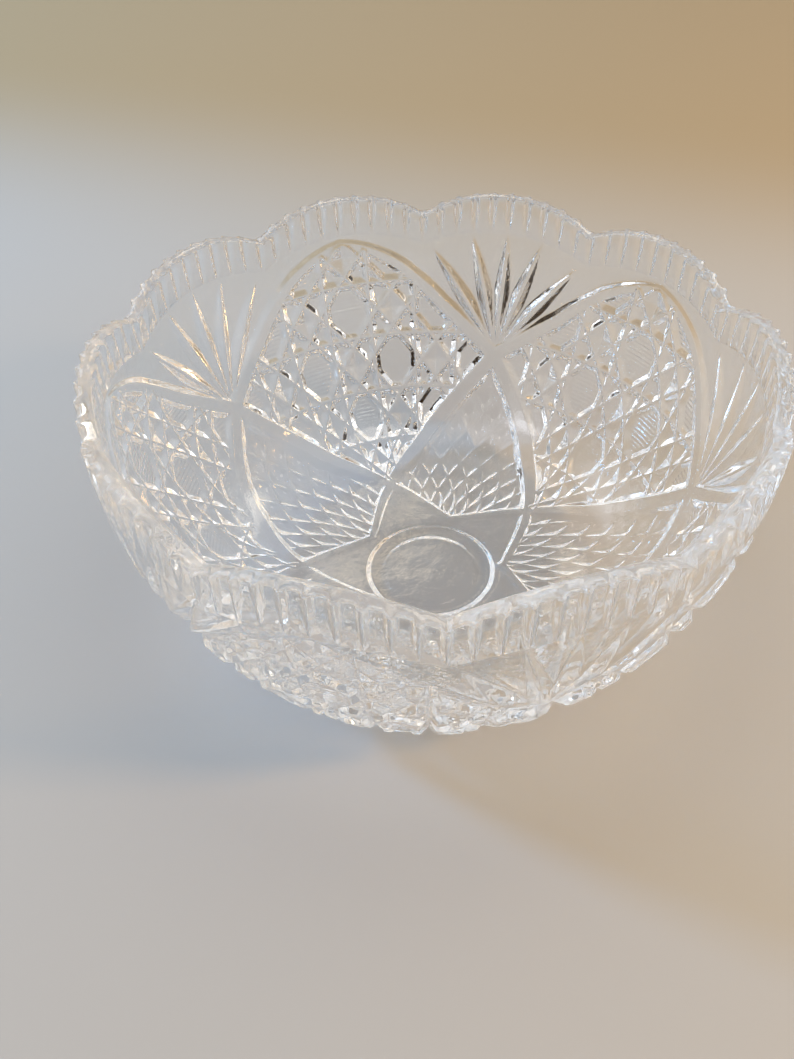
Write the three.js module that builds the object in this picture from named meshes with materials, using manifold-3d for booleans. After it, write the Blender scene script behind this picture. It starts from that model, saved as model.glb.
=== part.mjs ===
// Scalloped bowl in clear pressed glass, 203 mm across, made as one piece.
// Millimetres, +Z up. The origin is the centre of the foot's underside, and a fan of cuts faces +Y.

import * as THREE from 'three';
import { mergeVertices } from 'three/addons/utils/BufferGeometryUtils.js';
import Module from 'manifold-3d';

// Driving dimensions
const RIM_HEIGHT = 95;          // top of a scallop above the foot's underside
const SCALLOP_DEPTH = 8;        // how far the rim dips between two scallops
const SCALLOPS = 10;
const SCALLOP_START = 55;       // below this height the wall is a plain body of revolution
const FOOT_RADIUS = 21;
const FOOT_HEIGHT = 3.2;
const FOOT_BEVEL = 0.8;
const FOOT_FLARE = 0.6;         // how much wider the foot is where it meets the base
const REPEATS = SCALLOPS / 2;   // one panel and one fan for every two scallops
const DIP_SHARPNESS = 2.2;      // the higher, the flatter a crest and the narrower a dip
const SEGMENTS = 80;            // steps round the axis, eight for each scallop

const FLUTES_PER_SCALLOP = 10;
const FLUTE_RADIUS = 101;       // the flutes are cut in from the rim's outer edge
const FLUTE_DEPTH = 1.3;
const FLUTE_LENGTH = 13;
const FLUTE_SHARE = 0.46;       // half of a flute's width as a share of the flutes' spacing
const FLUTE_LEAN = 0.06;        // extra lean in radians, so that the flute runs out on the curved wall
const FLUTE_OVERCUT = 3;        // the cutter stands this far outside the glass
const FLUTE_ABOVE_RIM = 4;      // and this far above the rim
const FLUTE_BELOW = 7;          // and its lower end is this far past the flute's own

const GROOVE_CUTTER_RADIUS = 7;
const GROOVE_DEPTH = 2.0;
const GROOVE_END_DEPTH = 0.4;
const GROOVE_STEPS = 9;
const GROOVE_CORNERS = 6;       // points on each quarter of the cutter's round section
const GROOVE_TOP = 0.865;       // where a groove starts, as a share of the wall's length
const GROOVE_FALL = 0.735;      // how far it comes down, as such a share
const GROOVE_BOW = 0.035;       // how far it bows upward near its top, as such a share
const GROOVE_BOW_PACE = 2.4;    // the bow is over after 1 / 2.4 of the groove

const LEAF_HALF_WIDTH = 2.4;
const LEAF_DEPTH = 1.8;
const LEAF_SINK = 1.2;          // how far a leaf cutter's middle stands out from its chord
const LEAF_FOOT = 0.62;         // where leaves start, as a share of the wall's length
const LEAF_TIP = 0.865;         // where the middle leaf ends, as such a share
const LEAF_DROP = 0.55;         // how much lower the outer leaves end
const LEAF_FOOT_SPREAD = 0.1;   // how far apart the leaves' feet are, as a share of their tips' spread
const LEAF_MIDDLE = 0.75;       // where a leaf's middle is, as a share of the wall's length
const LEAF_MIDDLE_SPREAD = 0.55;
const LEAF_ANGLES = [-0.27, -0.13, 0, 0.13, 0.27];   // of the tips, in radians from the fan's middle

// Outer and inner wall outlines as (radius, height), from the foot or the axis to the rim
const outerWall = new THREE.SplineCurve([
  new THREE.Vector2(24, 3.2),
  new THREE.Vector2(42, 3.4),
  new THREE.Vector2(56, 4.8),
  new THREE.Vector2(68, 9.4),
  new THREE.Vector2(78, 18),
  new THREE.Vector2(85, 29),
  new THREE.Vector2(91, 41.5),
  new THREE.Vector2(96, 56),
  new THREE.Vector2(99.3, 72),
  new THREE.Vector2(100.6, 87),
  new THREE.Vector2(101, RIM_HEIGHT),
]);
const innerWall = new THREE.SplineCurve([
  new THREE.Vector2(0, 8.6),
  new THREE.Vector2(30, 8.8),
  new THREE.Vector2(46, 9.8),
  new THREE.Vector2(58, 13),
  new THREE.Vector2(67.5, 19),
  new THREE.Vector2(75, 28),
  new THREE.Vector2(81.5, 39.5),
  new THREE.Vector2(87.3, 52.5),
  new THREE.Vector2(91.8, 67),
  new THREE.Vector2(94.4, 82),
  new THREE.Vector2(95.4, RIM_HEIGHT),
]);
const OUTER_STEPS = 10;
const INNER_STEPS = 8;

const WELD_DISTANCE = 1e-3;

const wasm = await Module();
wasm.setup();

function toSolid(geometry) {
  const bare = geometry.clone();
  bare.deleteAttribute('normal');
  bare.deleteAttribute('uv');
  const merged = mergeVertices(bare, WELD_DISTANCE);
  return new wasm.Manifold(new wasm.Mesh({
    numProp: 3,
    vertProperties: new Float32Array(merged.attributes.position.array),
    triVerts: new Uint32Array(merged.index.array),
  }));
}

function toGeometry(solid) {
  const mesh = solid.getMesh();
  const geometry = new THREE.BufferGeometry();
  geometry.setAttribute('position', new THREE.BufferAttribute(mesh.vertProperties, 3));
  geometry.setIndex(new THREE.BufferAttribute(mesh.triVerts, 1));
  geometry.computeVertexNormals();
  return geometry;
}

// Height of the rim at an angle: rounded crests with short, softened dips between them
function rimHeight(angle) {
  const turn = (angle - Math.PI / 2) / (2 * Math.PI) * SCALLOPS;
  const fromCrest = Math.abs(turn - Math.round(turn)) * 2;
  return RIM_HEIGHT - SCALLOP_DEPTH * Math.pow(fromCrest, DIP_SHARPNESS);
}

// Body of revolution with its rim drawn down into scallops
function bowlBlank() {
  const profile = [
    new THREE.Vector2(0, 0),
    new THREE.Vector2(FOOT_RADIUS - FOOT_BEVEL, 0),
    new THREE.Vector2(FOOT_RADIUS, FOOT_BEVEL),
    new THREE.Vector2(FOOT_RADIUS + FOOT_FLARE, FOOT_HEIGHT),
    ...outerWall.getSpacedPoints(OUTER_STEPS),
    ...innerWall.getSpacedPoints(INNER_STEPS).reverse(),
  ];
  profile[profile.length - 1].x = 0;
  const lathe = new THREE.LatheGeometry(profile, SEGMENTS);
  lathe.rotateX(Math.PI / 2);
  const position = lathe.attributes.position;
  for (let i = 0; i < position.count; i += 1) {
    const height = position.getZ(i);
    if (height > SCALLOP_START) {
      const rim = rimHeight(Math.atan2(position.getY(i), position.getX(i)));
      const stretch = (rim - SCALLOP_START) / (RIM_HEIGHT - SCALLOP_START);
      position.setZ(i, SCALLOP_START + (height - SCALLOP_START) * stretch);
    }
  }
  return toSolid(lathe);
}

// A place on the outer wall, at an angle and a share of the wall's length, moved out by a distance
function onWall(angle, share, out) {
  const point = outerWall.getPointAt(share);
  const tangent = outerWall.getTangentAt(share);
  const radius = point.x + tangent.y * out;
  const height = point.y - tangent.x * out;
  return new THREE.Vector3(radius * Math.cos(angle), radius * Math.sin(angle), height);
}

// Rim flutes: shallow V cuts that run out down the wall
function fluteCutters() {
  const cutters = [];
  const count = SCALLOPS * FLUTES_PER_SCALLOP;
  const pitch = 2 * Math.PI * FLUTE_RADIUS / count;
  const reach = FLUTE_DEPTH + FLUTE_OVERCUT;
  const spread = pitch * FLUTE_SHARE * reach / FLUTE_DEPTH;
  const depth = FLUTE_LENGTH + FLUTE_BELOW;
  const section = new THREE.Shape([
    new THREE.Vector2(-FLUTE_DEPTH, 0),
    new THREE.Vector2(FLUTE_OVERCUT, -spread),
    new THREE.Vector2(FLUTE_OVERCUT, spread),
  ]);
  const lean = Math.atan(FLUTE_DEPTH / FLUTE_LENGTH) + FLUTE_LEAN;
  for (let i = 0; i < count; i += 1) {
    const angle = Math.PI / 2 + (i + 0.5) / count * 2 * Math.PI;
    const cutter = new THREE.ExtrudeGeometry(section, { depth, bevelEnabled: false });
    cutter.translate(0, 0, -depth);
    cutter.rotateY(-lean);
    cutter.translate(FLUTE_RADIUS, 0, rimHeight(angle) + FLUTE_ABOVE_RIM);
    cutter.rotateZ(angle);
    cutters.push(toSolid(cutter));
  }
  return cutters;
}

// Long curved grooves that cross at each fan and again round the star on the base
function grooveCutters() {
  const cutters = [];
  const section = new THREE.Shape();
  section.absarc(0, 0, GROOVE_CUTTER_RADIUS, 0, 2 * Math.PI);
  for (let repeat = 0; repeat < REPEATS; repeat += 1) {
    for (const side of [-1, 1]) {
      const points = [];
      for (let i = 0; i <= GROOVE_STEPS; i += 1) {
        const along = i / GROOVE_STEPS;
        const bow = GROOVE_BOW * Math.sin(Math.PI * Math.min(1, along * GROOVE_BOW_PACE));
        const turn = along - 0.5;
        const angle = Math.PI / 2 + (repeat + side * turn) * 2 * Math.PI / REPEATS;
        const share = GROOVE_TOP + bow - along * GROOVE_FALL;
        const depth = GROOVE_END_DEPTH + (GROOVE_DEPTH - GROOVE_END_DEPTH) * Math.sin(Math.PI * along);
        points.push(onWall(angle, share, GROOVE_CUTTER_RADIUS - depth));
      }
      const path = new THREE.CatmullRomCurve3(points);
      cutters.push(toSolid(new THREE.ExtrudeGeometry(section, {
        steps: GROOVE_STEPS,
        bevelEnabled: false,
        extrudePath: path,
        curveSegments: GROOVE_CORNERS,
      })));
    }
  }
  return cutters;
}

// Fans: five slim leaves spreading up from each crossing of the long grooves
function leafCutters() {
  const cutters = [];
  for (let repeat = 0; repeat < REPEATS; repeat += 1) {
    const middle = Math.PI / 2 + repeat * 2 * Math.PI / REPEATS;
    for (const turn of LEAF_ANGLES) {
      const foot = onWall(middle + turn * LEAF_FOOT_SPREAD, LEAF_FOOT, 0);
      const tip = onWall(middle + turn, LEAF_TIP - LEAF_DROP * turn * turn, 0);
      const up = new THREE.Vector3().subVectors(tip, foot);
      const leaf = new THREE.OctahedronGeometry(1, 0);
      leaf.scale(LEAF_DEPTH, LEAF_HALF_WIDTH, up.length() / 2);
      const at = middle + turn * LEAF_MIDDLE_SPREAD;
      const out = onWall(at, LEAF_MIDDLE, 1).sub(onWall(at, LEAF_MIDDLE, 0));
      const upward = up.clone().normalize();
      const across = new THREE.Vector3().crossVectors(upward, out).normalize();
      const outward = new THREE.Vector3().crossVectors(across, upward);
      const turnTo = new THREE.Matrix4().makeBasis(outward, across, upward);
      turnTo.setPosition(foot.clone().add(tip).multiplyScalar(0.5).addScaledVector(outward, LEAF_SINK));
      leaf.applyMatrix4(turnTo);
      cutters.push(toSolid(leaf));
    }
  }
  return cutters;
}

function makeBowl() {
  let bowl = bowlBlank();
  for (const cutter of [...fluteCutters(), ...grooveCutters(), ...leafCutters()]) {
    bowl = bowl.subtract(cutter);
  }
  const glass = new THREE.MeshStandardMaterial({
    name: 'clear_glass',
    color: 0xe4e9ea,
    roughness: 0.05,
    metalness: 0,
    transparent: true,
    opacity: 0.4,
  });
  const mesh = new THREE.Mesh(toGeometry(bowl), glass);
  mesh.name = 'bowl';
  return mesh;
}

const model = new THREE.Group();
model.name = 'scalloped_glass_bowl';
model.add(makeBowl());

export default model;
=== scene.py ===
"""Scalloped bowl in clear pressed glass, seen from above on a pale table.

The bowl is one closed mesh in metres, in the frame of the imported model: +Z up, the origin under the foot,
and a fan of leaves facing +Y. The inside is smooth, and the whole cut pattern is on the outside.
"""

import math

import bpy
import numpy as np
from mathutils import Matrix, Vector


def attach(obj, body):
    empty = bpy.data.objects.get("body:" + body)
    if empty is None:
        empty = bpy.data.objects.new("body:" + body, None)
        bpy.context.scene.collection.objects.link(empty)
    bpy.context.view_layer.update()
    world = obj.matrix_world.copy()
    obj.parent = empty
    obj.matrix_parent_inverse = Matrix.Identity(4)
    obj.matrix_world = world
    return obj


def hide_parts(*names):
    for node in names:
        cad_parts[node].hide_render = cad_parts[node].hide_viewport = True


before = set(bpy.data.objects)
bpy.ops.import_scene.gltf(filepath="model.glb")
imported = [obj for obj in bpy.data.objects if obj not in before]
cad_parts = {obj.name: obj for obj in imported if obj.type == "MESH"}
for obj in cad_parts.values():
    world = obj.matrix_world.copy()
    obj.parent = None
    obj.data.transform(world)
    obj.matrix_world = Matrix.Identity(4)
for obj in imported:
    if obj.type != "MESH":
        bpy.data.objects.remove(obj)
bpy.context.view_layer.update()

MM = 0.001

# ---- The body, in millimetres as (radius, height) ----
OUTER_WALL = [
    (24, 3.2), (42, 3.4), (56, 4.8), (68, 9.4), (78, 18), (85, 29),
    (91, 41.5), (96, 56), (99.3, 72), (100.6, 87), (101, 95),
]
INNER_WALL = [
    (0, 8.6), (30, 8.8), (46, 9.8), (58, 13), (67.5, 19), (75, 28),
    (81.5, 39.5), (87.3, 52.5), (91.8, 67), (94.4, 82), (95.4, 95),
]
FOOT = [                        # from inside its shallow recess, out over the ring it stands on
    (4.0, 0.75), (8.0, 0.75), (12.0, 0.74), (14.5, 0.68), (15.6, 0.5),
    (16.4, 0.2), (17.2, 0.03), (17.8, 0.0), (19.6, 0.0), (20.2, 0.05),
    (20.7, 0.3), (21.0, 0.8), (21.3, 2.0), (21.8, 2.8), (22.6, 3.1),
]
RIM_HEIGHT = 95.0
SCALLOP_DEPTH = 8.0
SCALLOP_POWER = 2.2             # above 2 it flattens the crests and sharpens the dips
LIP_OUTSIDE = 1.2               # how far below the rim's edge its rounding starts, outside and inside
LIP_INSIDE = 1.4
LIP_LEAST = 0.4                 # height of the rounding where the wall is already at the rim
LIP_POWER = 0.75                # below 1 it squares the rounding
SCALLOPS = 10
REPEATS = 5
PERIOD = 360 / REPEATS          # degrees from one fan to the next
HALF = PERIOD / 2               # from a fan's middle to a panel's middle

# ---- The view: angles in degrees and lengths in metres, round a point on the axis near the rim ----
RIM_PLANE = 84.5 * MM
CAMERA_AZIMUTH = 15.8
CAMERA_ELEVATION = 35.1
CAMERA_DISTANCE = 0.305
CAMERA_YAW = -1.89
CAMERA_PITCH = -8.39
CAMERA_ROLL = 0.31
CAMERA_NEAR = 0.01
SENSOR_MM = 36
LENS_MM = 47.0

# ---- Resolution of the mesh ----
COLUMNS = 1440
ROWS_LOW = 190                  # from the foot to the flutes
ROWS_HIGH = 110                 # from there to the rim
ROWS_LIP = 14
ROWS_INSIDE = 110
FLUTE_ZONE = 118.0              # wall length where the rows begin to follow the scallops
WALL_SAMPLES = 2000
LINE_POINTS = 40                # along each long cut
LINE_PARTS = 4                  # straight parts between two of them
CURVE_PARTS = 60                # between two points of a smooth curve
NORMAL_REACH = 0.3              # wall length on each side that a normal is taken over


def smooth_curve(points, count):
    """Catmull-Rom curve through the points, as evenly spaced points with their arc length."""
    p = np.array(points, float)
    ends = np.vstack([2 * p[0] - p[1], p, 2 * p[-1] - p[-2]])
    out = []
    t = np.linspace(0, 1, CURVE_PARTS, endpoint=False)[:, None]
    for i in range(1, len(ends) - 2):
        a, b, c, d = ends[i - 1:i + 3]
        out.append(0.5 * (2 * b + (c - a) * t + (2 * a - 5 * b + 4 * c - d) * t**2
                          + (3 * b - a - 3 * c + d) * t**3))
    out = np.vstack(out + [p[-1:]])
    length = np.r_[0, np.cumsum(np.linalg.norm(np.diff(out, axis=0), axis=1))]
    at = np.linspace(0, length[-1], count)
    return np.c_[np.interp(at, length, out[:, 0]), np.interp(at, length, out[:, 1])], at


# Lengths along the outer wall count from the axis, so they start at the foot's radius
OUTER, outer_length = smooth_curve(OUTER_WALL, WALL_SAMPLES)
INNER, inner_length = smooth_curve(INNER_WALL, WALL_SAMPLES)
outer_length = outer_length + OUTER_WALL[0][0]


def wall_point(v):
    """Radius and height of the outer wall at a length along it."""
    return np.interp(v, outer_length, OUTER[:, 0]), np.interp(v, outer_length, OUTER[:, 1])


def inner_point(length):
    """Radius and height of the inside wall at a length along it."""
    return np.interp(length, inner_length, INNER[:, 0]), np.interp(length, inner_length, INNER[:, 1])


def wall_normal(v):
    """Outward normal of the outer wall as (radial, vertical)."""
    r0, z0 = wall_point(np.clip(v - NORMAL_REACH, outer_length[0], outer_length[-1]))
    r1, z1 = wall_point(np.clip(v + NORMAL_REACH, outer_length[0], outer_length[-1]))
    n = np.hypot(r1 - r0, z1 - z0)
    return (z1 - z0) / n, -(r1 - r0) / n


def to_nearest(value):
    """Distance to the nearest whole number."""
    return np.abs(value - np.round(value))


def from_crest(degrees):
    """0 at a scallop's crest and 1 at a dip."""
    return to_nearest(degrees / 360 * SCALLOPS) * 2


def rim_height(degrees):
    """Height of the rim's edge: rounded crests with short dips between them."""
    return RIM_HEIGHT - SCALLOP_DEPTH * from_crest(degrees)**SCALLOP_POWER


# ---- The cut pattern ----
# Each repeat mirrors about the middle of its fan and about the middle of its panel, so the pattern is given
# from 0 (fan) to 36 degrees (panel). Its heights are lengths s up a slightly shorter wall, and V_OF_S turns
# them into true lengths v. All cuts are given by half their width, in millimetres, and their sides' slope.
V_OF_S = [(0, 0), (41.3, 42), (97.5, 102), (139, 145), (148.3, 153), (159.3, 163.7)]
V_PER_S = 1.045                 # the usual ratio, for spacing
s_table, v_table = np.array(V_OF_S).T

# Long mitres as (degrees, s, half-width)
MITRE_UPPER = [(36, 140.6, 1.8), (30, 136.8, 2.6), (24, 131, 3.3), (20, 125.4, 3.5), (16.5, 120, 3.9),
               (13.5, 115, 4.2), (9, 109, 4.5), (4.5, 103.2, 4.8), (0, 98, 5.0)]
MITRE_LOWER = [(0, 98, 5.0), (4, 90, 5.3), (9, 81, 5.6), (14.5, 71, 5.7), (20, 61.5, 5.4), (27, 53, 4.4),
               (36, 43.5, 3.0)]
STAR = [(36, 43.5, 3.0), (24, 34.2, 2.4), (12, 28.0, 2.0), (0, 24.6, 1.8)]
MITRE_SLOPE = 0.95
MITRE_FLOOR = 0.54              # depth of the flat floor, as a share of half the width

LEAVES = [(0.0, 143.4), (7.6, 141.6), (16.0, 135.6)]    # each tip's degrees and s
LEAF_FOOT = 98.8                # s of the place that all leaves spread from
LEAF_HALF = 3.4
LEAF_SLOPE = 1.1
LEAF_FLOOR = 0.95
LEAF_LEAN = 0.85                # below 1 it moves the widest place towards the foot
LEAF_FULLNESS = 0.8             # below 1 it blunts the ends

FLUTE_PITCH = 3.6               # degrees
FLUTE_SHARE = 0.9               # of the pitch, across each flute
FLUTE_DEPTH = 1.4
FLUTE_END_DIP = 143.5           # wall length where a flute ends, under a dip and under a crest
FLUTE_END_CREST = 149.0
FLUTE_RUN_OUT = 9.0             # wall length over which a flute reaches its depth
FLUTE_RUN_OUT_POWER = 0.8
FLUTE_FLANK = 1.05              # slope of its sides

CANE_TOP = 115.0                # s of a button's middle
CANE_DEGREES = 10.5             # the lattice's steps round the bowl and up the wall
CANE_RISE = 20.0
CANE_CUT = 0.335                # of a step, from a button's middle to the cuts beside it
CANE_HALF = 2.35                # half the width of each cut
CANE_SLOPE = 0.95
BUTTON_RIDGE_PITCH = 1.5
BUTTON_RIDGE_DEPTH = 0.38
BUTTON_EDGE = 0.5               # over which the ridges fade at a button's edge

KITE_DEGREES = 4.1              # half a diamond's width and half its height
KITE_RISE = 7.6
KITE_DEPTH = 0.95
KITE_POWER = 0.6                # below 1 it flattens the pillows and narrows the cuts between them


def smooth_line(points):
    """The same line with rounded bends."""
    p = np.array(points, float)
    out, _ = smooth_curve(p[:, :2], LINE_POINTS)
    width = np.interp(np.linspace(0, 1, LINE_POINTS), np.linspace(0, 1, len(p)), p[:, 2])
    return [(t, s, w) for (t, s), w in zip(out, width)]


UPPER_LINE, LOWER_LINE, STAR_LINE = (smooth_line(line) for line in (MITRE_UPPER, MITRE_LOWER, STAR))


def line_height(line, fold):
    """The s of a line at each angle from the fan's middle."""
    degrees, s, _ = np.array(sorted(line)).T
    return np.interp(fold, degrees, s)


def distance_to_line(fold, v, to_mm, line):
    """Distance from each place on the wall to a line of (degrees, s, half-width), with the half-width there."""
    best = np.full(fold.shape, np.inf)
    wide = np.ones(fold.shape)
    fine = []
    for start, end in zip(np.array(line[:-1]), np.array(line[1:])):
        fine += [start + (end - start) * k for k in np.linspace(0, 1, LINE_PARTS, endpoint=False)]
    fine.append(line[-1])
    for (t0, s0, w0), (t1, s1, w1) in zip(fine[:-1], fine[1:]):
        v0, v1 = np.interp([s0, s1], s_table, v_table)
        d, k = distance_to_part(fold, v, to_mm, (t0, v0), (t1, v1))
        near = d < best
        best = np.where(near, d, best)
        wide = np.where(near, w0 + (w1 - w0) * k, wide)
    return best, wide


def distance_to_part(fold, v, to_mm, start, end):
    """Distance to a straight line on the wall, and how far along it the nearest place is, from 0 to 1."""
    ax = (fold - start[0]) * to_mm
    ay = v - start[1]
    bx = (end[0] - start[0]) * to_mm
    by = end[1] - start[1]
    k = np.clip((ax * bx + ay * by) / (bx * bx + by * by), 0, 1)
    return np.hypot(ax - k * bx, ay - k * by), k


def vee(distance, half, slope):
    return np.maximum(0, (half - distance) * slope)


def trough(distance, half, slope, floor):
    """A cut with steep sides and a flat floor, floor times as deep as it is half wide."""
    return np.minimum(vee(distance, half, slope), half * floor)


def mitre_depth(fold, v, to_mm):
    """Long mitres, which cross under each fan and meet again in the star."""
    depth = np.zeros(fold.shape)
    for line in (UPPER_LINE, LOWER_LINE, STAR_LINE):
        distance, half = distance_to_line(fold, v, to_mm, line)
        depth = np.maximum(depth, trough(distance, half, MITRE_SLOPE, MITRE_FLOOR))
    return depth


def cane_depth(from_panel, s, to_mm):
    """The panels' fill: flat eight-sided buttons between double and diagonal cuts."""
    down = (CANE_TOP - s) / CANE_RISE
    across = from_panel / CANE_DEGREES
    mm_down = CANE_RISE * V_PER_S
    mm_across = CANE_DEGREES * to_mm
    p = (down + across) / 2
    q = (down - across) / 2
    per_mm = np.hypot(0.5 / mm_down, 0.5 / mm_across)
    depth = np.zeros(s.shape)
    for value in (p, q):
        for offset in (CANE_CUT, -CANE_CUT):
            depth = np.maximum(depth, vee(to_nearest(value - offset) / per_mm, CANE_HALF, CANE_SLOPE))
    for value, step_mm in ((down, mm_down), (across, mm_across)):
        depth = np.maximum(depth, vee(to_nearest(value - 0.5) * step_mm, CANE_HALF, CANE_SLOPE))

    # Small points at the middles of the lattice's cells
    cell = np.maximum(np.abs(p - np.floor(p) - 0.5), np.abs(q - np.floor(q) - 0.5))
    point = cell / (0.5 - CANE_CUT)
    depth = np.where(point < 1, np.maximum(depth, point * CANE_HALF * CANE_SLOPE), depth)

    # Fine ridges on the buttons, inside the cuts on all eight sides
    bp = p - np.round(p)
    bq = q - np.round(q)
    on_button = 1.0
    for room in ((CANE_CUT - np.maximum(np.abs(bp), np.abs(bq))) / per_mm,
                 (0.5 - np.abs(bp + bq)) * mm_down,
                 (0.5 - np.abs(bp - bq)) * mm_across):
        on_button = on_button * np.clip((room - CANE_HALF) / BUTTON_EDGE, 0, 1)
    ridges = to_nearest((bp + bq) * mm_down / BUTTON_RIDGE_PITCH) * 2 * BUTTON_RIDGE_DEPTH
    return np.maximum(depth, ridges * on_button)


def kite_depth(fold, s):
    """The kites' fill: rows of small raised pillows on a diamond lattice."""
    u = (fold / KITE_DEGREES + s / KITE_RISE) / 2
    w = (fold / KITE_DEGREES - s / KITE_RISE) / 2
    pillow = np.abs(np.sin(np.pi * u) * np.sin(np.pi * w)) ** KITE_POWER
    return KITE_DEPTH * (1 - pillow)


def fan_depth(fold, v, to_mm):
    """Lens-shaped leaves that spread from one point."""
    depth = np.zeros(fold.shape)
    for tip, top in LEAVES:
        v0, v1 = np.interp([LEAF_FOOT, top], s_table, v_table)
        distance, k = distance_to_part(fold, v, to_mm, (0.0, v0), (tip, v1))
        # k runs from the leaf's foot to its tip
        half = LEAF_HALF * np.sin(np.pi * k**LEAF_LEAN) ** LEAF_FULLNESS
        depth = np.maximum(depth, trough(distance, half, LEAF_SLOPE, LEAF_FLOOR))
    return depth


def flute_depth(theta, v, to_mm):
    """Rim flutes, which run out at their lower ends."""
    off = to_nearest(theta / FLUTE_PITCH - 0.5) * 2 / FLUTE_SHARE
    crest = 1 - from_crest(theta)**2
    above_end = v - (FLUTE_END_DIP + (FLUTE_END_CREST - FLUTE_END_DIP) * crest)
    run_out = np.clip(above_end / FLUTE_RUN_OUT, 0, 1) ** FLUTE_RUN_OUT_POWER
    edge = (1 - off) * FLUTE_PITCH * FLUTE_SHARE / 2 * to_mm
    flute = np.minimum(FLUTE_DEPTH * run_out, FLUTE_FLANK * edge)
    return np.where((off < 1) & (above_end > 0), flute, 0)


def pattern_depth(theta, v):
    """How far the outer wall is cut in, in millimetres, at degrees theta and true wall length v."""
    fold = np.abs((theta + HALF) % PERIOD - HALF)
    s = np.interp(v, v_table, s_table)
    to_mm = wall_point(v)[0] * np.pi / 180
    s_upper, s_lower, s_star = (line_height(line, fold) for line in (UPPER_LINE, LOWER_LINE, STAR_LINE))
    in_panel = (s < s_upper) & (s > s_lower)
    in_kite = (s < s_lower) & (s > s_star)
    cuts = (
        mitre_depth(fold, v, to_mm),
        np.where(in_panel, cane_depth(HALF - fold, s, to_mm), 0),
        np.where(in_kite, kite_depth(fold, s), 0),
        fan_depth(fold, v, to_mm),
        flute_depth(theta, v, to_mm),
    )
    return np.maximum.reduce(cuts)


# ---- Building the mesh ----
def outer_rings():
    """Rows of points from the foot's upper edge to the rim: their degrees, radii and heights."""
    theta = np.arange(COLUMNS) * 360 / COLUMNS
    edge_v = np.interp(rim_height(theta), OUTER[:, 1], outer_length) - LIP_OUTSIDE
    low = np.linspace(outer_length[0], FLUTE_ZONE, ROWS_LOW, endpoint=False)
    share = np.linspace(0, 1, ROWS_HIGH)[:, None]
    v = np.vstack([np.repeat(low[:, None], COLUMNS, axis=1), FLUTE_ZONE + (edge_v - FLUTE_ZONE) * share])
    depth = pattern_depth(np.repeat(theta[None, :], len(v), axis=0), v)
    radius, height = wall_point(v)
    nr, nz = wall_normal(v)
    return theta, radius - nr * depth, height - nz * depth


def bowl_rings():
    """All rings from the middle of the underside, over the rim, to the middle of the floor."""
    theta, radius, height = outer_rings()
    rim = rim_height(theta)
    rings = [(np.full(COLUMNS, r), np.full(COLUMNS, z)) for r, z in FOOT]
    rings += zip(radius, height)

    # Rounded lip from the last outer row over to the inside wall
    r_out, z_out = radius[-1], height[-1]
    inner_top = np.interp(rim - LIP_INSIDE, INNER[:, 1], inner_length)
    r_in, z_in = inner_point(inner_top)
    for k in np.linspace(0, 1, ROWS_LIP + 2)[1:-1]:
        mix = (1 - math.cos(math.pi * k)) / 2
        base = z_out * (1 - mix) + z_in * mix
        bulge = np.maximum(rim - base, LIP_LEAST) * math.sin(math.pi * k) ** LIP_POWER
        rings.append((r_out * (1 - mix) + r_in * mix, base + bulge))

    # Smooth inside wall
    for k in np.linspace(0, 1, ROWS_INSIDE)[:-1]:
        rings.append(inner_point(inner_top * (1 - k)))
    r, z = np.array(rings).transpose(1, 0, 2)
    return theta, r, z


def build_bowl():
    theta, r, z = bowl_rings()
    angle = np.radians(90 + theta)[None, :]
    ring_points = np.stack([r * np.cos(angle), r * np.sin(angle), z], axis=-1).reshape(-1, 3)
    middle_low = len(ring_points)
    middle_high = middle_low + 1
    points = np.vstack([ring_points, [[0, 0, FOOT[0][1]]], [[0, 0, INNER_WALL[0][1]]]]) * MM

    j = np.arange(COLUMNS)
    jn = (j + 1) % COLUMNS
    row = np.arange(len(r) - 1)[:, None] * COLUMNS
    top = (len(r) - 1) * COLUMNS
    quads = np.stack([row + j, row + jn, row + COLUMNS + jn, row + COLUMNS + j], axis=-1)
    low_fan = np.stack([np.full(COLUMNS, middle_low), jn, j], axis=-1)
    high_fan = np.stack([np.full(COLUMNS, middle_high), top + j, top + jn], axis=-1)
    loops = np.concatenate([quads.ravel(), low_fan.ravel(), high_fan.ravel()])
    corners = np.concatenate([np.full(quads.size // 4, 4), np.full(2 * COLUMNS, 3)])

    mesh = bpy.data.meshes.new("glass_bowl")
    mesh.vertices.add(len(points))
    mesh.vertices.foreach_set("co", points.ravel())
    mesh.loops.add(len(loops))
    mesh.loops.foreach_set("vertex_index", loops)
    mesh.polygons.add(len(corners))
    mesh.polygons.foreach_set("loop_start", np.r_[0, np.cumsum(corners)[:-1]])
    mesh.polygons.foreach_set("use_smooth", np.ones(len(corners), bool))
    mesh.update(calc_edges=True)
    mesh.validate()
    bowl = bpy.data.objects.new("glass_bowl", mesh)
    bpy.context.collection.objects.link(bowl)
    return bowl


# ---- Materials ----
# Scales of noise are in repeats per metre, bump distances in metres
GLASS_IOR = 1.52
TINT_SCALE, TINT_DETAIL = 22, 2
TINT_FROM, TINT_TO = 0.3, 0.7
TINT_GREEN = (0.975, 0.98, 0.972, 1)
TINT_CLEAR = (0.995, 0.995, 0.995, 1)
SMEAR_SCALE, SMEAR_DETAIL = 60, 4
SMEAR_FROM, SMEAR_TO = 0.35, 0.75
SMEAR_ROUGHNESS = 0.045
RIPPLE_SCALE, RIPPLE_STRENGTH, RIPPLE_HEIGHT = 130, 0.35, 0.0004
GRAIN_SCALE, GRAIN_STRENGTH, GRAIN_HEIGHT = 620, 0.5, 0.00008
BUMP_DETAIL = 1
SHADOW_TINT = (0.87, 0.87, 0.86, 1)     # what each surface lets through from the lamps

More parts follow.
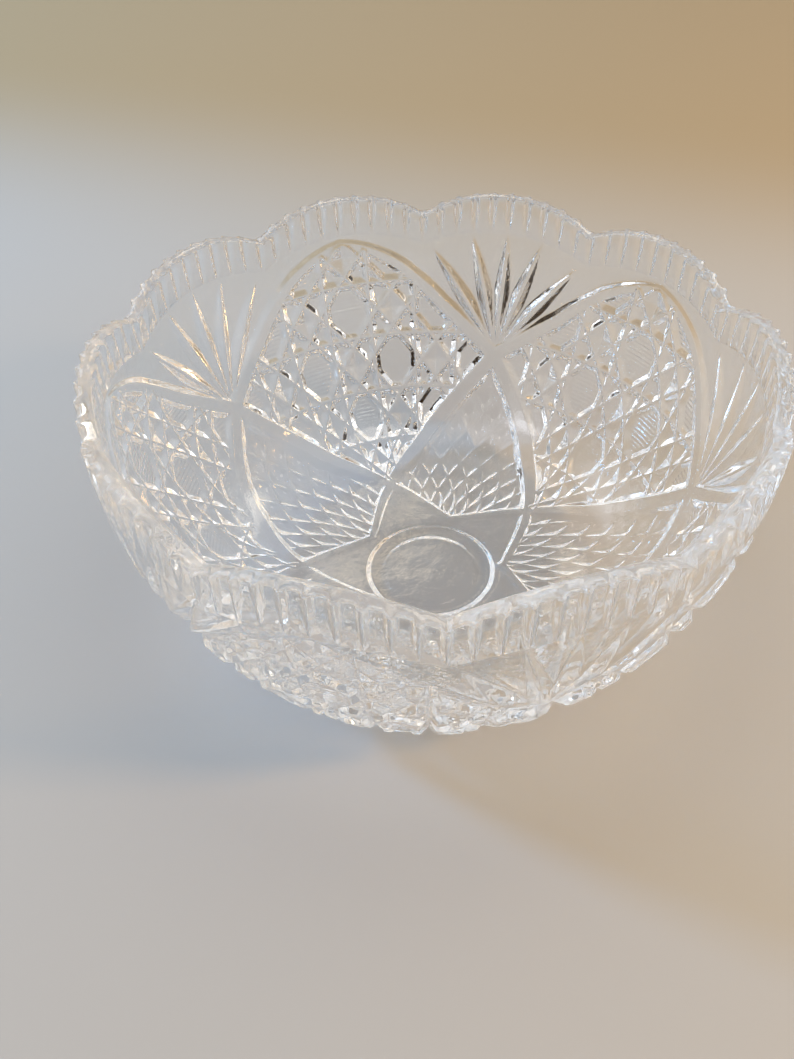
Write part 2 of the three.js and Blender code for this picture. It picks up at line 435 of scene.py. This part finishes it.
TABLE_HALF = 9.0
TABLE_DROP = 0.0002
TABLE_ROUGHNESS = 0.55
TABLE_SCALE, TABLE_DETAIL = 3, 3
TABLE_DARK = (0.330, 0.314, 0.298, 1)
TABLE_LIGHT = (0.356, 0.340, 0.323, 1)
BEIGE = (0.287, 0.214, 0.124, 1)
BEIGE_TURN = 14                         # degrees between its edge and the camera's own sideways direction
BEIGE_FROM, BEIGE_TO = 0.14, 0.44
# Painted light: colour, and outer and inner radii in metres, of a pool of light painted on the table under the
# bowl
PAINTED_CAUSTIC = (0.46, 0.445, 0.425, 1)
PAINTED_CAUSTIC_OUTER, PAINTED_CAUSTIC_INNER = 0.12, 0.045


def add_node(tree, kind, values=None):
    """A new shader node with some of its inputs set."""
    node = tree.nodes.new("ShaderNode" + kind)
    for name, value in (values or {}).items():
        node.inputs[name].default_value = value
    return node


def add_ramp(tree, stops):
    """A colour ramp with these (position, colour) stops."""
    node = add_node(tree, "ValToRGB")
    elements = node.color_ramp.elements
    while len(elements) < len(stops):
        elements.new(1.0)
    for element, (position, colour) in zip(elements, stops):
        element.position = position
        element.color = colour
    return node


def add_noise(tree, place, scale, detail):
    """Noise over the object's own coordinates."""
    node = add_node(tree, "TexNoise", {"Scale": scale, "Detail": detail})
    tree.links.new(place.outputs["Object"], node.inputs["Vector"])
    return node.outputs["Fac"]


def new_material(name):
    mat = bpy.data.materials.new(name)
    mat.use_nodes = True
    return mat, mat.node_tree, add_node(mat.node_tree, "TexCoord")


def glass_material():
    mat, tree, place = new_material("clear_pressed_glass")
    link = tree.links.new
    glass = tree.nodes["Principled BSDF"]
    glass.inputs["Transmission Weight"].default_value = 1.0
    glass.inputs["IOR"].default_value = GLASS_IOR

    # A trace of grey-green that varies slowly through the glass
    tint = add_ramp(tree, [(TINT_FROM, TINT_GREEN), (TINT_TO, TINT_CLEAR)])
    link(add_noise(tree, place, TINT_SCALE, TINT_DETAIL), tint.inputs["Fac"])
    link(tint.outputs["Color"], glass.inputs["Base Color"])

    # Fire-polished skin with faint smears
    rough = add_node(tree, "MapRange", {
        "From Min": SMEAR_FROM, "From Max": SMEAR_TO, "To Min": 0.0, "To Max": SMEAR_ROUGHNESS})
    link(add_noise(tree, place, SMEAR_SCALE, SMEAR_DETAIL), rough.inputs["Value"])
    link(rough.outputs["Result"], glass.inputs["Roughness"])

    # The mould leaves a slow ripple in the surface, and a fine grain on it
    ripple = add_node(tree, "Bump", {"Strength": RIPPLE_STRENGTH, "Distance": RIPPLE_HEIGHT})
    grain = add_node(tree, "Bump", {"Strength": GRAIN_STRENGTH, "Distance": GRAIN_HEIGHT})
    link(add_noise(tree, place, RIPPLE_SCALE, BUMP_DETAIL), ripple.inputs["Height"])
    link(add_noise(tree, place, GRAIN_SCALE, BUMP_DETAIL), grain.inputs["Height"])
    link(ripple.outputs["Normal"], grain.inputs["Normal"])
    link(grain.outputs["Normal"], glass.inputs["Normal"])

    # Light from the lamps reaches the table through the glass
    path = add_node(tree, "LightPath")
    clear = add_node(tree, "BsdfTransparent", {"Color": SHADOW_TINT})
    mix = add_node(tree, "MixShader")
    link(path.outputs["Is Shadow Ray"], mix.inputs["Fac"])
    link(glass.outputs["BSDF"], mix.inputs[1])
    link(clear.outputs["BSDF"], mix.inputs[2])
    link(mix.outputs["Shader"], tree.nodes["Material Output"].inputs["Surface"])
    return mat


def table_material():
    mat, tree, place = new_material("pale_table")
    link = tree.links.new
    paint = tree.nodes["Principled BSDF"]
    paint.inputs["Roughness"].default_value = TABLE_ROUGHNESS
    plain = add_ramp(tree, [(0.0, TABLE_DARK), (1.0, TABLE_LIGHT)])
    link(add_noise(tree, place, TABLE_SCALE, TABLE_DETAIL), plain.inputs["Fac"])

    # Behind the bowl it turns a warm beige
    turn = add_node(tree, "Mapping", {"Rotation": (0, 0, math.radians(BEIGE_TURN - CAMERA_AZIMUTH))})
    split = add_node(tree, "SeparateXYZ")
    far = add_node(tree, "MapRange", {"From Min": BEIGE_FROM, "From Max": BEIGE_TO})
    far.interpolation_type = "SMOOTHERSTEP"
    beige = add_node(tree, "MixRGB", {"Color2": BEIGE})
    link(place.outputs["Object"], turn.inputs["Vector"])
    link(turn.outputs["Vector"], split.inputs["Vector"])
    link(split.outputs["Y"], far.inputs["Value"])
    link(far.outputs["Result"], beige.inputs["Fac"])
    link(plain.outputs["Color"], beige.inputs["Color1"])

    # Painted light: a paler patch painted into the table's colour under the bowl, in place of the light that the
    # glass gathers there
    reach = add_node(tree, "VectorMath")
    reach.operation = "LENGTH"
    painted_caustic_mask = add_node(tree, "MapRange", {"From Min": PAINTED_CAUSTIC_OUTER, "From Max": PAINTED_CAUSTIC_INNER})
    painted_caustic_mask.interpolation_type = "SMOOTHERSTEP"
    painted_caustic = add_node(tree, "MixRGB", {"Color2": PAINTED_CAUSTIC})
    link(place.outputs["Object"], reach.inputs[0])
    link(reach.outputs["Value"], painted_caustic_mask.inputs["Value"])
    link(painted_caustic_mask.outputs["Result"], painted_caustic.inputs["Fac"])
    link(beige.outputs["Color"], painted_caustic.inputs["Color1"])
    link(painted_caustic.outputs["Color"], paint.inputs["Base Color"])
    return mat


# ---- The bowl ----
bowl = build_bowl()
bowl.data.materials.append(glass_material())
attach(bowl, "root")
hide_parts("bowl")

# ---- The table ----
table_mesh = bpy.data.meshes.new("table_top")
table_mesh.from_pydata(
    [(x * TABLE_HALF, y * TABLE_HALF, 0) for x, y in ((-1, -1), (1, -1), (1, 1), (-1, 1))], [], [(0, 1, 2, 3)])
table = bpy.data.objects.new("table_top", table_mesh)
bpy.context.collection.objects.link(table)
table.location.z = -TABLE_DROP
table.data.materials.append(table_material())

# ---- Light: a soft room, a cool window at the left and a warm lamp at the right ----
LAMP_AIM = Vector((0, 0, 0.04))
LAMP_SIZE = 0.2


def from_view(across, away, height):
    """A place given by how far it is to the right of the bowl and behind it, as the camera sees them."""
    t = math.radians(CAMERA_AZIMUTH)
    return Vector((across * math.cos(t) - away * math.sin(t), across * math.sin(t) + away * math.cos(t), height))


def area_lamp(name, place, power, colour):
    """A square lamp aimed at the bowl, which doesn't show in reflections."""
    data = bpy.data.lights.new(name, "AREA")
    data.size = LAMP_SIZE
    data.energy = power
    data.color = colour
    lamp = bpy.data.objects.new(name, data)
    bpy.context.collection.objects.link(lamp)
    lamp.location = place
    lamp.rotation_euler = (LAMP_AIM - place).to_track_quat("-Z", "Y").to_euler()
    lamp.visible_glossy = False


area_lamp("window", from_view(-1.45, 0.34, 0.80), 42, (0.20, 0.54, 1.0))
area_lamp("warm_lamp", from_view(1.25, -0.32, 0.90), 27, (1.0, 0.60, 0.20))

# The room's colour by the height of a direction, from level to straight up
ROOM_HEIGHTS = [
    (0.0, (0.20, 0.15, 0.10, 1)),
    (0.13, (0.52, 0.47, 0.40, 1)),
    (0.3, (0.68, 0.66, 0.62, 1)),
    (1.0, (0.84, 0.85, 0.87, 1)),
]
# Bright and dark things in it: direction (right, behind, up), half-angles of their core and their edge, colour
ROOM_THINGS = [
    ((0.85, 0.10, 0.32), 8, 20, (1.30, 0.90, 0.55, 1)),
    ((-0.80, 0.45, 0.50), 14, 24, (2.4, 2.6, 2.9, 1)),
    ((0.70, 0.60, 0.55), 8, 14, (4.0, 3.7, 3.2, 1)),
    ((-0.25, -0.90, 0.25), 18, 26, (0.07, 0.045, 0.025, 1)),
    ((0.0, -0.78, 0.60), 28, 36, (0.03, 0.018, 0.01, 1)),
    ((-0.85, -0.25, 0.10), 14, 22, (0.10, 0.055, 0.03, 1)),
    ((0.25, 0.90, 0.12), 6, 12, (0.30, 0.17, 0.08, 1)),
    ((0.60, -0.70, 0.22), 10, 18, (0.06, 0.035, 0.02, 1)),
    ((-0.45, 0.85, 0.10), 5, 10, (0.05, 0.03, 0.02, 1)),
    ((-0.15, 0.15, 0.95), 7, 12, (0.10, 0.08, 0.06, 1)),
    ((0.30, -0.20, 0.93), 6, 10, (4.2, 4.0, 3.7, 1)),
    ((-0.55, -0.35, 0.72), 5, 9, (3.8, 3.9, 4.2, 1)),
    ((-0.10, 0.75, 0.62), 5, 9, (3.6, 3.2, 2.6, 1)),
]
EVEN_LIGHT = (0.66, 0.62, 0.49, 1)
BACKDROP = (0.52, 0.49, 0.43, 1)


def build_room():
    world = bpy.data.worlds.new("room")
    bpy.context.scene.world = world
    world.use_nodes = True
    tree = world.node_tree
    link = tree.links.new
    direction = add_node(tree, "TexCoord").outputs["Generated"]
    split = add_node(tree, "SeparateXYZ")
    ramp = add_ramp(tree, ROOM_HEIGHTS)
    link(direction, split.inputs["Vector"])
    link(split.outputs["Z"], ramp.inputs["Fac"])
    colour = ramp.outputs["Color"]

    def paint_over(colour, share, paint):
        over = add_node(tree, "MixRGB", {"Color2": paint})
        link(share, over.inputs["Fac"])
        link(colour, over.inputs["Color1"])
        return over.outputs["Color"]

    for toward, inner, outer, paint in ROOM_THINGS:
        aim = add_node(tree, "VectorMath")
        aim.operation = "DOT_PRODUCT"
        aim.inputs[1].default_value = from_view(*toward).normalized()
        edge = add_node(tree, "MapRange", {
            "From Min": math.cos(math.radians(outer)), "From Max": math.cos(math.radians(inner))})
        edge.interpolation_type = "SMOOTHSTEP"
        link(direction, aim.inputs[0])
        link(aim.outputs["Value"], edge.inputs["Value"])
        colour = paint_over(colour, edge.outputs["Result"], paint)

    # The table is lit evenly, and the camera sees a plain backdrop. Only the glass shows the room.
    kind = add_node(tree, "LightPath")
    colour = paint_over(colour, kind.outputs["Is Diffuse Ray"], EVEN_LIGHT)
    colour = paint_over(colour, kind.outputs["Is Camera Ray"], BACKDROP)
    link(colour, tree.nodes["Background"].inputs["Color"])


build_room()

# ---- Camera ----
def turned(a, b, degrees):
    """Two of the camera's axes, turned by this angle in their plane."""
    t = math.radians(degrees)
    return a * math.cos(t) + b * math.sin(t), b * math.cos(t) - a * math.sin(t)


az, el = math.radians(CAMERA_AZIMUTH), math.radians(CAMERA_ELEVATION)
offset = CAMERA_DISTANCE * Vector((math.sin(az) * math.cos(el), -math.cos(az) * math.cos(el), math.sin(el)))
forward = -offset.normalized()
right = forward.cross(Vector((0, 0, 1))).normalized()
up = right.cross(forward)
forward, right = turned(forward, right, CAMERA_YAW)
forward, up = turned(forward, up, CAMERA_PITCH)
right, up = turned(right, up, CAMERA_ROLL)
camera_data = bpy.data.cameras.new("camera")
camera_data.sensor_fit = "HORIZONTAL"
camera_data.sensor_width = SENSOR_MM
camera_data.lens = LENS_MM
camera_data.clip_start = CAMERA_NEAR
camera = bpy.data.objects.new("camera", camera_data)
bpy.context.collection.objects.link(camera)
camera.matrix_world = Matrix((
    (right.x, up.x, -forward.x, offset.x),
    (right.y, up.y, -forward.y, offset.y),
    (right.z, up.z, -forward.z, offset.z + RIM_PLANE),
    (0, 0, 0, 1),
))
bpy.context.scene.camera = camera

# ---- How light is followed: far enough for the many turns inside the glass ----
BOUNCES = 32
bpy.context.scene.view_settings.view_transform = "Standard"
cycles = bpy.context.scene.cycles
cycles.caustics_reflective = False
cycles.caustics_refractive = False
cycles.max_bounces = BOUNCES
cycles.glossy_bounces = BOUNCES
cycles.transmission_bounces = BOUNCES
